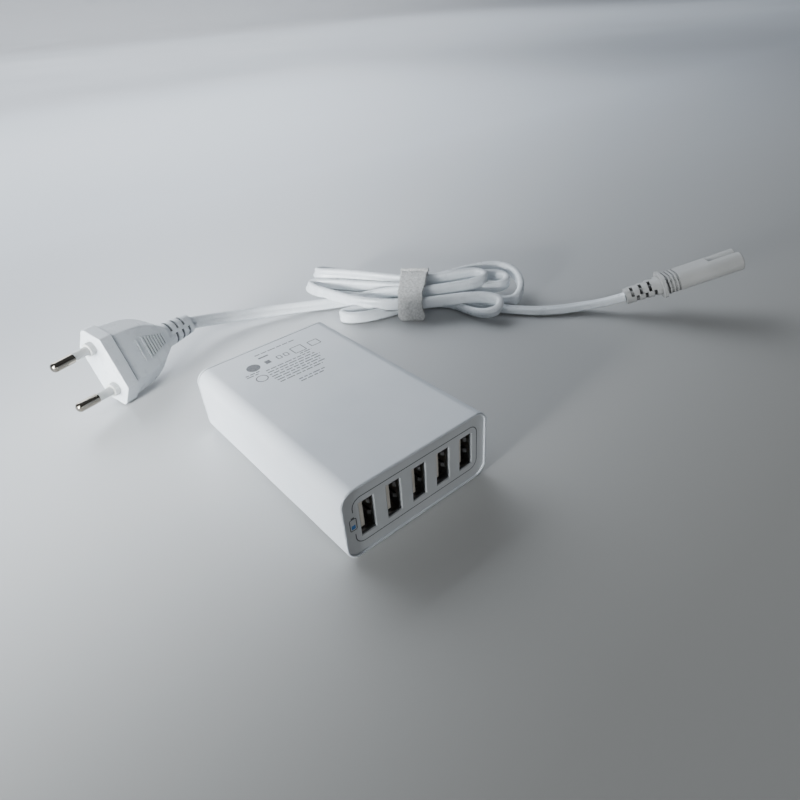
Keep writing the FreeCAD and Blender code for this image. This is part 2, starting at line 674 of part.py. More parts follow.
def pin_cylinder(side, radius, start, end):
    base = Vector(0, side * PLUG_PIN_BASE_SPACING / 2, 0)
    tip = Vector(PLUG_PIN_LENGTH, side * PLUG_PIN_TIP_SPACING / 2, 0)
    direction = (tip - base).normalize()
    return Part.makeCylinder(radius, end - start, base + direction * start, direction)


def plug_pin(side):
    tip = pin_cylinder(side, PLUG_PIN_RADIUS, SLEEVE_LENGTH, PLUG_PIN_LENGTH)
    far = [edge for edge in tip.Edges if edge.BoundBox.XMin > PLUG_PIN_LENGTH - PLUG_PIN_RADIUS]
    tip = tip.makeFillet(PLUG_PIN_ROUND, far)
    return tip.fuse(pin_cylinder(side, PIN_CORE_RADIUS, -PIN_ROOT, SLEEVE_LENGTH)).removeSplitter()


def plug_sleeve(side):
    sleeve = pin_cylinder(side, SLEEVE_RADIUS, 0, SLEEVE_LENGTH)
    sleeve = sleeve.fuse(pin_cylinder(side, BOSS_RADIUS, 0, BOSS_LENGTH))
    sleeve = sleeve.cut(pin_cylinder(side, PIN_CORE_RADIUS, 0, SLEEVE_LENGTH))
    behind = box(-BOSS_RADIUS, 0, -FLANGE_HALF_WIDTH, FLANGE_HALF_WIDTH, -BOSS_RADIUS, BOSS_RADIUS)
    return sleeve.cut(behind).removeSplitter()


# Figure-8 connector
def place_connector(shape):
    rotation = Rotation(CONNECTOR_YAW, CONNECTOR_PITCH, CONNECTOR_ROLL)
    shape.Placement = Placement(Vector(*CONNECTOR_START), rotation)
    return shape


def nose_solid():
    half = PIN_PITCH / 2
    nose = box(NOSE_X, CONNECTOR_LENGTH, -half, half, -NOSE_WAIST, NOSE_WAIST)
    for side in (-1, 1):
        lobe = Part.makeCylinder(NOSE_LOBE, NOSE_LENGTH, Vector(NOSE_X, side * half, 0), ALONG_X)
        nose = nose.fuse(lobe)
    nose = nose.removeSplitter()
    tip = [edge for edge in nose.Edges if edge.BoundBox.XMin > CONNECTOR_LENGTH - NOSE_ROUND]
    return nose.makeFillet(NOSE_ROUND, tip)


def hole_cylinder(side, radius, start, end):
    bottom = Vector(CONNECTOR_LENGTH - end, side * PIN_PITCH / 2, 0)
    return Part.makeCylinder(radius, end - start, bottom, ALONG_X)


def connector_body():
    half_width = PIN_PITCH / 2 + HANDLE_HALF_THICKNESS
    handle = stadium_bar(COLLAR_LENGTH, NOSE_X, half_width, HANDLE_HALF_THICKNESS)
    flange_end = COLLAR_LENGTH + COLLAR_FLANGE_WIDTH
    flange_width = half_width + COLLAR_FLANGE_HEIGHT
    flange_thickness = HANDLE_HALF_THICKNESS + COLLAR_FLANGE_HEIGHT
    handle = handle.fuse(stadium_bar(COLLAR_LENGTH, flange_end, flange_width, flange_thickness))
    for index in range(RING_GROOVES):
        x = flange_end + RING_START + index * RING_PITCH
        ring = stadium_bar(x, x + RING_WIDTH, half_width + RING_DEPTH, HANDLE_HALF_THICKNESS + RING_DEPTH)
        core = stadium_bar(x, x + RING_WIDTH, half_width - RING_DEPTH, HANDLE_HALF_THICKNESS - RING_DEPTH)
        handle = handle.cut(ring.cut(core))
    start = stadium_wire(0, *COLLAR_START)
    end = stadium_wire(COLLAR_LENGTH, *COLLAR_END)
    collar = Part.makeLoft([start, end], True, True)
    collar = slotted_relief(collar, 0, COLLAR_LENGTH, COLLAR_END[0], HANDLE_HALF_THICKNESS)
    body = handle.fuse(nose_solid()).fuse(collar)
    for side in (-1, 1):
        body = body.cut(hole_cylinder(side, HOLE_RADIUS, 0, HOLE_MOUTH))
        body = body.cut(hole_cylinder(side, CONTACT_OUTER, HOLE_MOUTH, HOLE_MOUTH + CONTACT_LENGTH))
    return body.removeSplitter()


def connector_contact(side):
    end = HOLE_MOUTH + CONTACT_LENGTH
    tube = hole_cylinder(side, CONTACT_OUTER, HOLE_MOUTH, end)
    return tube.cut(hole_cylinder(side, CONTACT_BORE, HOLE_MOUTH, end))


# Flat flex and its hank
def cord_path(points, name):
    edges = []
    last = points[0]
    for before, corner, after in zip(points, points[1:], points[2:]):
        reach = ARC_SHARE * min((corner - before).Length, (after - corner).Length)
        start, middle, end, radius = corner_arc(before, corner, after, reach)
        print(name, "radius", round(radius, 1))
        edges.append(Part.LineSegment(last, start).toShape())
        edges.append(Part.Arc(start, middle, end).toShape())
        last = end
    edges.append(Part.LineSegment(last, points[-1]).toShape())
    return Part.Wire(edges)


def cord_tube(points, name, upright):
    path = cord_path(points, name)
    first = (points[1] - points[0]).normalize()
    section = stadium_wire(0, CORD_WIDTH / 2, CORD_THICKNESS / 2)
    expected = Part.Face(section).Area * path.Length
    side = UP.cross(first).normalize()
    above = first.cross(side)
    across, through = (above, -side) if upright else (side, above)
    section.Placement = Placement(points[0], Rotation(first, across, through, "XYZ"))
    pipe = Part.BRepOffsetAPI.MakePipeShell(path)
    pipe.setBiNormalMode(UP)
    pipe.add(section)
    pipe.build()
    pipe.makeSolid()
    tube = pipe.shape()
    print(name, "length", round(path.Length, 1), "volume", round(tube.Volume), "expected", round(expected))
    return tube


def hank_place(shape):
    shape.Placement = Placement(Vector(HANK_X, HANK_Y, 0), Rotation(UP, HANK_HEADING))
    return shape


def cord_hank():
    left_waist = ((-HANK_WAIST, HANK_BACK), (-HANK_WAIST, HANK_FRONT))
    right_waist = ((HANK_WAIST, HANK_BACK), (HANK_WAIST, HANK_FRONT))
    outline = left_waist[1:] + HANK_LEFT_LOBE + left_waist[:1]
    outline += right_waist[:1] + HANK_RIGHT_LOBE + right_waist[1:]
    wire = rounded_wire([Vector(s, t, TIE_THICKNESS) for s, t in outline], HANK_ROUND)
    return hank_place(Part.Face(wire).extrude(Vector(0, 0, HANK_TOP - TIE_THICKNESS)))


def cord_tie():
    half = TIE_LENGTH / 2
    front = HANK_FRONT - TIE_THICKNESS
    back = HANK_BACK + TIE_THICKNESS
    strap = box(-half, half, front, back, 0, HANK_TOP + TIE_THICKNESS)
    strap = strap.makeFillet(TIE_THICKNESS, parallel_edges(strap, ALONG_X))
    return hank_place(strap.cut(box(-half, half, HANK_FRONT, HANK_BACK, TIE_THICKNESS, HANK_TOP)))


def lead_nodes():
    plug = plug_body()
    lift = -place_plug(plug.copy(), 0.0).optimalBoundingBox(False, False).ZMin
    plug = place_plug(plug, lift)
    connector = place_connector(connector_body())
    hank = cord_hank()
    nodes = {"plug_body": plug, "connector_body": connector, "cord_hank": hank, "cord_tie": cord_tie()}
    for index, side in ((1, -1), (2, 1)):
        nodes[f"plug_pin_{index}"] = place_plug(plug_pin(side), lift)
        nodes[f"plug_sleeve_{index}"] = place_plug(plug_sleeve(side), lift)
        nodes[f"connector_contact_{index}"] = place_connector(connector_contact(side))
    plug_exit = plug.Placement.multVec(Vector(-PLUG_LENGTH, 0, 0))
    plug_route = [plug_exit] + [Vector(*point) for point in PLUG_END_ROUTE]
    nodes["cord_plug_end"] = cord_tube(plug_route, "cord_plug_end", True).cut(hank).cut(plug)
    connector_route = [Vector(*point) for point in CONNECTOR_END_ROUTE + (CONNECTOR_START,)]
    connector_end = cord_tube(connector_route, "cord_connector_end", False)
    nodes["cord_connector_end"] = connector_end.cut(hank).cut(connector)
    return nodes


os.makedirs("parts", exist_ok=True)
for name, shape in {**block_nodes(), **board_nodes(), **lead_nodes()}.items():
    shape.exportStep(f"parts/{name}.step")
    print(name, "solids", len(shape.Solids), "valid", shape.isValid(), "volume", round(shape.Volume, 1))
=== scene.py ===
import json
import math
import random

import bpy
from mathutils import Matrix, Vector, noise


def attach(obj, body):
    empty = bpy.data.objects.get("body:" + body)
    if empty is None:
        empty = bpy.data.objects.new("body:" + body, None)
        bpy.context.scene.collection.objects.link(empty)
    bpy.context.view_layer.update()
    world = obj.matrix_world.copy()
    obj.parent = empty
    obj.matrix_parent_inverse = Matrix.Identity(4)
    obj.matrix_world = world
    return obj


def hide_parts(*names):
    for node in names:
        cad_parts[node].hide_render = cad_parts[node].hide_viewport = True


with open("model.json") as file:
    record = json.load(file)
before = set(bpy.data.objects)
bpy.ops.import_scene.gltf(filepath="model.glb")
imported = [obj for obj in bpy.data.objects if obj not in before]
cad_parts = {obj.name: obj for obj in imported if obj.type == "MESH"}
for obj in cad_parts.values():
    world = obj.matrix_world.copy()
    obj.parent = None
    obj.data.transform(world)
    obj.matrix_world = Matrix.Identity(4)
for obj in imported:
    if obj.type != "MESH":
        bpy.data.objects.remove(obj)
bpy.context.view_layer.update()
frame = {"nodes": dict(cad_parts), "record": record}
nodes = frame["nodes"]

MM = 0.001
UP = Vector((0, 0, 1))

# Flat twin flex: two cores side by side with a shallow valley between them
CORD_WIDTH = 0.0058
CORE_RADIUS = 0.0017
CORE_OFFSET = CORD_WIDTH / 2 - CORE_RADIUS
CORE_SQUARENESS = 0.72
VALLEY_DEPTH = 0.0003
VALLEY_PLACES = (0.5, 0.0, -0.5)
CORD_STEPS = 12
ARC_POINTS = 9

# Route of the flex in millimetres, and how far the band leans over from standing on edge, in degrees
PLUG_END = (
    (-4.384, 115.927, 12.161, -22), (4.5, 118.2, 9.6, -26), (16, 118.2, 7, -34), (30, 115.2, 4.9, -40),
    (45, 109.8, 3.6, -40), (57, 103.6, 3.1, -32),
)
CONNECTOR_END = (
    (125.6, 23.9, 1.9, 90), (132.4, 14.6, 1.8, 90), (141, 7.2, 2, 90), (149.6, 0.8, 2.9, 84),
    (156, -6.5, 4.9, 80), (161.6, -13.1, 8, 78),
)

# The hank: along its heading, across it away from the block, height and lean
HANK_CENTRE = (95.5, 67.3)
HANK_HEADING = math.radians(-49.55)
HANK_TURNS = (
    # The cord comes in and climbs on to the pile
    (-40, -1.6, 3.1, -18), (-27, 2, 4.4, -5), (-13, 0.6, 8.4, 0), (0, -1.8, 10, 0),
    # Short loop on top, right
    (10, -1.6, 10.2, 0), (22, 1.8, 10.7, 0), (32, 5.4, 11.2, 0), (37.6, 11.6, 11.8, 0), (32.5, 16.8, 12.3, 0),
    (23, 13.4, 12.6, 0), (11, 7.6, 12.6, 0),
    # Top loop, left
    (0, 5.4, 12.4, 0), (-14, 7.6, 12.6, 0), (-30, 10.8, 13, 0), (-44, 12.8, 13.2, 0), (-53.6, 13.4, 13, 12),
    (-55, 17.6, 12.2, 30), (-52, 21.4, 11, 14), (-42, 22.2, 9.2, 0), (-28, 18.5, 8.6, 0), (-12, 11.5, 9.2, 0),
    # Long loop, right
    (0, 8.8, 9.8, 0), (12, 12.5, 10.8, 0), (26, 21.6, 11.3, 0), (40.5, 28.6, 11.5, 0), (51.5, 24.6, 10.4, 0),
    (55.8, 10.6, 7.4, 0), (52.5, -0.8, 4.4, 0), (42, 1.2, 3.4, 0), (30, 4.6, 3.6, 0), (14, 5.8, 3.9, 0),
    # Inner loop, left
    (0, 5.6, 4, 0), (-14, 6.6, 3.6, 0), (-30, 7, 3.2, 0), (-42, 6.8, 3.1, 0), (-46, 10.8, 3.1, 0),
    (-42, 14.6, 3.1, 0), (-30, 14.4, 3.3, 0), (-13, 10.4, 3.7, 0),
    # Middle loop, right
    (0, 9, 4, 0), (14, 9.6, 4.8, 0), (27, 9.2, 6.4, 0), (37, 8.2, 7.4, 0), (45.8, 9.2, 8.4, 0),
    (48.4, 14.8, 8.9, 0), (45, 20.2, 9.2, 0), (36, 21, 9.4, 0), (24, 16.8, 9.4, 0), (11, 9, 9.4, 0),
    # Front loop, left
    (0, 2, 9.7, 0), (-13, 4, 9.4, 0), (-28, 6.8, 8.9, 0), (-43, 9.6, 8.6, 0), (-54.8, 11.4, 8.4, -12),
    (-57.6, 8, 8.3, -30), (-54, 3.4, 8.2, -14), (-44, -1.6, 8, 0), (-30, -8.4, 7.4, 0), (-13, -11.2, 6.8, 0),
    # Teardrop loop, front right
    (0, -10.2, 6.9, 0), (12, -8.6, 7.5, 0), (26, -5.6, 8.2, 0), (36, -4, 8.2, 0), (43.8, -5.4, 7.6, 0),
    (45.2, -9.8, 6.4, -10), (42.6, -13.8, 5, -25), (36, -13.6, 3.6, -38), (27.5, -7.4, 3, -42),
    (19, 0, 3.1, -20), (9, 0.4, 3.1, 10),
    # Low loop on the table, front left
    (0, -2.2, 3, 40), (-8, -8, 2.3, 80), (-15, -13.8, 2.9, 50), (-24, -18.2, 3.1, 0), (-31.6, -18.8, 3.1, 0),
    (-34, -15.6, 3.1, 0), (-30.8, -12.4, 3.1, 0), (-23, -9, 3.1, 0), (-12, -4.4, 3.1, 0),
    # Way out
    (0, 2.2, 3.2, 10), (12, 3.6, 2.9, 40), (25, 2.2, 2.3, 75), (38, -2.4, 1.9, 90),
)

# Hook-and-loop tie in millimetres: its outline round the bundle, across and up, and its width along the hank
TIE_OUTLINE = (
    (-13.4, 0.4), (-14.5, 2.4), (-14.1, 6.2), (-12.6, 9.8), (-8.4, 12.8), (-3.0, 14.8), (3.0, 16.0),
    (6.8, 16.2), (8.0, 17.2), (9.4, 16.0), (10.8, 12.4), (11.0, 6.5), (10.3, 2.2), (8.0, 0.6), (2.0, 0.3),
    (-6.0, 0.3),
)
TIE_CENTRE = 0.9
TIE_SWING = 1.1
TIE_HALF_LENGTH = 6.0
TIE_FLARE = 1.7
TIE_WAIST = 9.5
TIE_CURL = 3.4
TIE_CURL_HEIGHT = 3.6
TIE_THICKNESS = 1.1
TIE_TURN_POINTS = 160
TIE_ROWS = 27
TIE_LOWEST = 0.08

# The tie's rough face, its waves and its wandering middle: height and scale
TIE_FUZZ = 0.36
FUZZ_SCALE = 1.7
TIE_WAVE = 0.35
WAVE_SCALE = 0.25
WAVE_SCALE_ALONG = 0.1
TIE_WANDER = 0.5
WANDER_SCALE = 0.35
WANDER_SLICE = 3.0

# Loose fibres on the tie
FIBRES = 3800
FIBRE_SEED = 7
FIBRE_WIDTH = 0.05
FIBRE_LENGTHS = (0.6, 1.7)
FIBRE_ROOT = 0.05
FIBRE_MIDDLE = 0.6
FIBRE_MIDDLE_RISE = 0.25
FIBRE_TIP_RISE = 0.3
FIBRE_MIDDLE_STEPS = (-1, 0, 1)
FIBRE_TIP_STEPS = (-2, -1, 1, 2)

# Painted shade: a dark strip inside the groove of the parting line at the rear, standing in for the shadow in
# the gap
BLOCK_SIZE = (58.0, 26.4)
BLOCK_RADIUS = 5.0
GAP_DEPTH = 0.06
GAP_Y = (44.16, 44.49)

# Printed line and pictogram on the front panel
PANEL_Y = -44.8
PRINT_RISE = 0.02
LINE_CENTRE = (0.0, 13.2)
LINE_SIZE = (49.9, 17.4)
LINE_RADIUS = 3.2
LINE_WIDTH = 0.34
LINE_GAP = (9.1, 17.5)
BATTERY_X = -25.3
BATTERY_Z = 13.0
BATTERY_SIZE = (2.6, 4.6)
BATTERY_LINE = 0.3
BATTERY_RADIUS = 0.6
BATTERY_CAP = (1.1, 0.55)
BATTERY_BAR = 1.5

# Printed marks on the top, in millimetres from the middle of the block
TOP_Z = BLOCK_SIZE[1]
BAR_HEIGHT = 0.6
BAR_GAP = 0.55
BAR_LENGTHS = (1.1, 3.4)
BAR_SEED = 11
BAR_ROWS = (
    (-7.3, 10.4, 39.4), (-9.6, 9.5, 26.8), (-9.8, 10.4, 25.1), (-10.0, 11.6, 23.4), (-10.0, 10.8, 21.7),
    (-10.0, 9.6, 20.0), (-9.8, 10.4, 18.3), (-9.6, 8.4, 16.6), (-17.0, -11.4, 28.4), (-17.2, -12.2, 27.1),
    (-4.0, 7.0, 13.2), (-4.2, 5.4, 11.6), (6.0, 11.2, 28.4),
)
BOLD_BAR = (-7.3, -3.1, 36.6, 0.9)
SQUARE_MARKS = ((-0.9, 32.0, 2.1, 2.7), (2.1, 32.0, 2.1, 2.7), (7.4, 32.0, 5.2, 5.2), (14.6, 31.8, 4.6, 4.2))
SQUARE_LINE = 0.42
SQUARE_RADIUS = 0.5
DISC_MARK = (-11.9, 32.0, 2.6)
BLOCK_MARK = (-6.9, -4.7, 32.0, 2.4)
RING_MARK = (-13.1, 23.3, 2.3)
ROUND_STEPS = 40

# Camera, in metres and millimetres of lens
CAMERA_PLACE = (-0.08580, -0.14871, 0.13722)
CAMERA_RIGHT = (0.75907, -0.64771, -0.06551)
CAMERA_UP = (0.4111, 0.3989, 0.8197)
CAMERA_BACK = (-0.50480, -0.64914, 0.56902)
CAMERA_LENS = 26.75
SENSOR_WIDTH = 36.0
NEAREST_SEEN = 0.01

# Table top: rings of radius and height in metres, and a colour that fades from painted shade at the front to
# painted light at the back
FLOOR_RINGS = ((15.0, 0.0), (25.0, 0.35), (35.0, 1.4), (45.0, 3.2))
FLOOR_SPOKES = 64
FLOOR_PAINTED_LIGHT_FADE = (-0.12, 0.36)
FLOOR_FRONT_PAINTED_SHADE = (0.365, 0.358, 0.338)
FLOOR_BACK_PAINTED_LIGHT = (0.82, 0.86, 0.91)
FLOOR_ROUGHNESS = (0.34, 0.42)
FLOOR_PATCH = 3.0

# Lamps: place and target in metres, size, power in watts, tint and spread in degrees
LAMPS = {
    "window": ((-0.44, -0.055, 0.085), (0.0, 0.09, 0.0), (0.13, 0.13), 0.58, (0.94, 0.98, 1.0), 50),
    "back_window": ((1.1, 1.95, 1.3), (1.1, 1.95, 0.0), (3.6, 2.2), 14.0, (0.86, 0.93, 1.0), 80),
    "far_window": ((0.20, 1.05, 0.60), (0.20, 0.55, 0.0), (1.2, 0.8), 3.4, (0.86, 0.93, 1.0), 80),
    "front_fill": ((-0.05, -0.60, 0.12), (0.0, 0.0, 0.013), (0.4, 0.2), 0.28, (0.97, 0.98, 1.0), 160),
    "plug_fill": ((-0.22, -0.05, 0.20), (-0.02, 0.11, 0.012), (0.08, 0.08), 0.046, (0.95, 0.98, 1.0), 42),
}

# Glow of the room: heading, strength from dim to bright, and how squarely the heading is faced for each
ROOM_TINT = (0.86, 0.91, 0.98)
CEILING = ((-0.05, 0.50, 0.86), (0.09, 0.14), (-0.3, 1.0))
BRIGHT_WALL = ((0.05, 0.98, 0.15), (0.0, 2.5), (0.55, 1.0))

# Finishes: two tones, roughness range, scale and depth of the grain, scale of the patches, further settings
FINISHES = {
    "case_white": (
        (0.62, 0.655, 0.695), (0.67, 0.70, 0.735), (0.40, 0.52), 2600, 0.00004, 45,
        {"edge": 0.0005, "Specular IOR Level": 0.25}),
    # The front panel's white plastic with a darker base colour than the case: painted shade
    "panel_white_painted_shade": (
        (0.50, 0.52, 0.53), (0.55, 0.565, 0.575), (0.36, 0.48), 2600, 0.00004, 45, {"edge": 0.0003}),
    "port_steel": (
        (0.30, 0.30, 0.31), (0.48, 0.48, 0.48), (0.25, 0.42), 900, 0.00003, 220,
        {"Metallic": 1.0, "stretch": (1, 6, 1)}),
    "port_insulator": ((0.78, 0.73, 0.63), (0.86, 0.82, 0.73), (0.40, 0.55), 1800, 0.00003, 200, {}),
    "contact_brass": (
        (0.70, 0.52, 0.24), (0.84, 0.66, 0.36), (0.22, 0.36), 1500, 0.00002, 300, {"Metallic": 1.0}),
    "inlet_black": (
        (0.018, 0.018, 0.020), (0.034, 0.034, 0.036), (0.40, 0.58), 1500, 0.00005, 120, {"edge": 0.0003}),
    "pin_nickel": (
        (0.29, 0.26, 0.22), (0.36, 0.33, 0.285), (0.14, 0.22), 300, 0.000005, 160,
        {"Metallic": 1.0, "stretch": (3, 3, 1)}),
    "board_green": ((0.014, 0.085, 0.034), (0.026, 0.13, 0.05), (0.28, 0.42), 900, 0.00004, 160, {}),
    "ferrite": ((0.020, 0.020, 0.022), (0.045, 0.045, 0.048), (0.55, 0.75), 2000, 0.00006, 240, {}),
    "winding_tape": (
        (0.62, 0.42, 0.05), (0.76, 0.55, 0.09), (0.22, 0.36), 500, 0.00008, 120, {"stretch": (1, 1, 8)}),
    "copper_wire": (
        (0.42, 0.15, 0.06), (0.58, 0.24, 0.10), (0.24, 0.38), 700, 0.0001, 300,
        {"Metallic": 1.0, "stretch": (1, 1, 7)}),
    "part_black": ((0.020, 0.020, 0.021), (0.040, 0.040, 0.042), (0.42, 0.60), 1800, 0.00004, 160, {}),
    "capacitor_sleeve": ((0.012, 0.014, 0.022), (0.028, 0.030, 0.042), (0.20, 0.34), 700, 0.00003, 140, {}),
    "film_yellow": ((0.58, 0.40, 0.06), (0.70, 0.50, 0.10), (0.28, 0.42), 900, 0.00004, 140, {}),
    "ceramic_blue": ((0.02, 0.07, 0.26), (0.04, 0.11, 0.36), (0.20, 0.34), 700, 0.00005, 160, {}),
    "sink_aluminium": (
        (0.58, 0.59, 0.60), (0.72, 0.73, 0.74), (0.30, 0.46), 900, 0.00004, 240,
        {"Metallic": 1.0, "stretch": (1, 1, 9)}),
    "lead_white": (
        (0.71, 0.75, 0.785), (0.78, 0.815, 0.845), (0.24, 0.36), 1900, 0.00005, 70, {"edge": 0.0002}),
    # The connector's white plastic with a darker base colour: painted shade
    "connector_white_painted_shade": (
        (0.41, 0.41, 0.402), (0.46, 0.46, 0.452), (0.40, 0.52), 1900, 0.00005, 70,
        {"edge": 0.0002, "Specular IOR Level": 0.25}),
    "sleeve_grey": ((0.62, 0.63, 0.62), (0.72, 0.73, 0.72), (0.36, 0.50), 1500, 0.00004, 160, {}),
    "tie_fabric": (
        (0.42, 0.42, 0.415), (0.68, 0.68, 0.67), (0.85, 0.98), 2400, 0.0003, 900, {"Sheen Weight": 0.3}),
    # Dark colour of the painted shade in the parting line's groove
    "gap_painted_shade": ((0.05, 0.052, 0.056), (0.09, 0.092, 0.096), (0.6, 0.8), 1500, 0.00002, 300, {}),
    "print_grey": ((0.05, 0.053, 0.06), (0.12, 0.125, 0.135), (0.45, 0.60), 2200, 0.00002, 1400, {}),
    "print_blue": ((0.03, 0.14, 0.42), (0.05, 0.20, 0.52), (0.40, 0.55), 2200, 0.00002, 900, {}),
}
PATCH_DETAIL = 3.0
GLOSS_DETAIL = 5.0
GLOSS_FINENESS = 3.0
GRAIN_STRENGTH = 0.6
EDGE_SAMPLES = 4

# Painted shade in creases, by reach in metres and colour, and painted shade on the walls of the panel's
# openings
PAINTED_CREASE_SHADE = {"lead_white": (0.0025, (0.16, 0.168, 0.18)), "connector_white_painted_shade": (0.002, (0.10, 0.10, 0.10))}
CREASE_SAMPLES = 8
CREASE_RANGE = (0.2, 0.75)
OPENING_PAINTED_SHADE = (0.13, 0.135, 0.14)
FRONT_RANGE = (0.4, 0.9)
# The panel and the connector take darker copies of the white plastic: painted shade
OWN_FINISH = {"front_panel": "panel_white_painted_shade", "connector_body": "connector_white_painted_shade"}


# Materials
def colour(value):
    return (value[0], value[1], value[2], 1.0)


def shader(name):
    material = bpy.data.materials.new(name)
    material.use_nodes = True
    tree = material.node_tree
    return material, tree, tree.nodes["Principled BSDF"]


def add_noise(tree, place, scale, detail=4.0, stretch=None):
    texture = tree.nodes.new("ShaderNodeTexNoise")
    texture.inputs["Scale"].default_value = scale
    texture.inputs["Detail"].default_value = detail
    if stretch:
        mapping = tree.nodes.new("ShaderNodeMapping")
        mapping.inputs["Scale"].default_value = stretch
        tree.links.new(place, mapping.inputs["Vector"])
        place = mapping.outputs["Vector"]
    tree.links.new(place, texture.inputs["Vector"])
    return texture.outputs["Fac"]


def remap(tree, value, low, high, from_low=0.3, from_high=0.7):
    node = tree.nodes.new("ShaderNodeMapRange")
    node.inputs["From Min"].default_value = from_low
    node.inputs["From Max"].default_value = from_high
    node.inputs["To Min"].default_value = low
    node.inputs["To Max"].default_value = high
    tree.links.new(value, node.inputs["Value"])
    return node.outputs["Result"]


def blend(tree, amount, first, second):
    node = tree.nodes.new("ShaderNodeMix")
    node.data_type = "RGBA"
    tree.links.new(amount, node.inputs["Factor"])
    node.inputs["A"].default_value = colour(first)
    node.inputs["B"].default_value = colour(second)
    return node.outputs["Result"]


def add_bump(tree, bsdf, height, distance, strength, edge=0.0):
    node = tree.nodes.new("ShaderNodeBump")
    node.inputs["Distance"].default_value = distance
    node.inputs["Strength"].default_value = strength
    tree.links.new(height, node.inputs["Height"])
    if edge:
        bevel = tree.nodes.new("ShaderNodeBevel")
        bevel.samples = EDGE_SAMPLES
        bevel.inputs["Radius"].default_value = edge
        tree.links.new(bevel.outputs["Normal"], node.inputs["Normal"])
    tree.links.new(node.outputs["Normal"], bsdf.inputs["Normal"])


def finish_material(name, low, high, rough, grain, depth, patch, edge=0.0, stretch=None, **sockets):
    """Colour that drifts between two tones in patches, uneven gloss and a fine grain in the surface."""
    material, tree, bsdf = shader(name)
    place = tree.nodes.new("ShaderNodeTexCoord").outputs["Object"]
    drift = add_noise(tree, place, patch, PATCH_DETAIL, stretch)
    tree.links.new(blend(tree, remap(tree, drift, 0.0, 1.0), low, high), bsdf.inputs["Base Color"])
    gloss = add_noise(tree, place, patch * GLOSS_FINENESS, GLOSS_DETAIL, stretch)
    tree.links.new(remap(tree, gloss, *rough), bsdf.inputs["Roughness"])
    add_bump(tree, bsdf, add_noise(tree, place, grain, stretch=stretch), depth, GRAIN_STRENGTH, edge)
    for socket, value in sockets.items():
        bsdf.inputs[socket].default_value = value
    return material


def mix_in(tree, share, shade):
    """The painted shade where the share is low, the colour painted so far where it is high."""
    base = tree.nodes["Principled BSDF"].inputs["Base Color"]
    painted = base.links[0].from_socket
    mixed = blend(tree, share, shade, shade)
    tree.links.new(painted, mixed.node.inputs["B"])
    tree.links.new(mixed, base)


def paint_crease_shade(material, reach, shade):
    """Painted shade: darker colour in slots, grooves and gaps between neighbours, where the surface is
    sheltered.
    """
    tree = material.node_tree
    sheltered = tree.nodes.new("ShaderNodeAmbientOcclusion")
    sheltered.samples = CREASE_SAMPLES
    sheltered.inputs["Distance"].default_value = reach
    mix_in(tree, remap(tree, sheltered.outputs["AO"], 0.0, 1.0, *CREASE_RANGE), shade)


def paint_opening_shade(material, shade):
    """Painted shade: darker walls where openings go through the plate, away from its front."""
    tree = material.node_tree
    parts = tree.nodes.new("ShaderNodeSeparateXYZ")
    tree.links.new(tree.nodes.new("ShaderNodeTexCoord").outputs["Normal"], parts.inputs[0])
    front = tree.nodes.new("ShaderNodeMath")
    front.operation = "ABSOLUTE"
    tree.links.new(parts.outputs["Y"], front.inputs[0])
    mix_in(tree, remap(tree, front.outputs[0], 0.0, 1.0, *FRONT_RANGE), shade)


MATERIALS = {name: finish_material(name, *finish[:-1], **finish[-1]) for name, finish in FINISHES.items()}
# Painted shade in the creases of the lead and the connector
for name, crease in PAINTED_CREASE_SHADE.items():
    paint_crease_shade(MATERIALS[name], *crease)
# Painted shade on the walls of the panel's openings
paint_opening_shade(MATERIALS["panel_white_painted_shade"], OPENING_PAINTED_SHADE)
for part in frame["record"]["subparts"]:
    finish = OWN_FINISH.get(part["node"], part["material_slot"])
    node = nodes[part["node"]]
    node.data.materials.clear()
    node.data.materials.append(MATERIALS[finish])


def piece(name, points, faces, material, smooth=True):
    mesh = bpy.data.meshes.new(name)
    mesh.from_pydata(points, [], faces)
    mesh.materials.append(MATERIALS[material])
    for polygon in mesh.polygons:
        polygon.use_smooth = smooth
    mesh.update()
    made = bpy.data.objects.new(name, mesh)
    bpy.context.collection.objects.link(made)
    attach(made, "root")
    return made


# Flex
def hank_point(along, across, height):
    x = HANK_CENTRE[0] + along * math.cos(HANK_HEADING) - across * math.sin(HANK_HEADING)
    y = HANK_CENTRE[1] + along * math.sin(HANK_HEADING) + across * math.cos(HANK_HEADING)
    return Vector((x, y, height)) * MM


def cord_line(points):
    """Points along the smooth spline that has the route's points as its control points."""
    curve = bpy.data.curves.new("flex_line", "CURVE")
    curve.dimensions = "3D"
    spline = curve.splines.new("NURBS")
    spline.points.add(len(points) - 1)
    for control, point in zip(spline.points, points):
        control.co = (point.x, point.y, point.z, 1.0)
    spline.order_u = 3
    spline.use_endpoint_u = True
    spline.resolution_u = CORD_STEPS
    holder = bpy.data.objects.new("flex_line", curve)
    bpy.context.collection.objects.link(holder)
    bpy.context.view_layer.update()
    mesh = bpy.data.meshes.new_from_object(holder)
    line = [vertex.co.copy() for vertex in mesh.vertices]
    bpy.data.objects.remove(holder)
    bpy.data.curves.remove(curve)
    bpy.data.meshes.remove(mesh)
    return line


def cord_section():
    """The flex's cross-section, across its width and through its thickness, with rather square edges."""
    section = []
    for side in (1, -1):
        for index in range(ARC_POINTS):
            angle = math.pi * (index / (ARC_POINTS - 1) - 0.5)
            out = max(math.cos(angle), 0.0) ** CORE_SQUARENESS
            rise = math.copysign(abs(math.sin(angle)) ** CORE_SQUARENESS, angle)
            section.append((side * (CORE_OFFSET + CORE_RADIUS * out), side * CORE_RADIUS * rise))
        for share in VALLEY_PLACES:
            dip = VALLEY_DEPTH * (1 + math.cos(math.pi * share)) / 2
            section.append((side * share * CORE_OFFSET, side * (CORE_RADIUS - dip)))
    return section


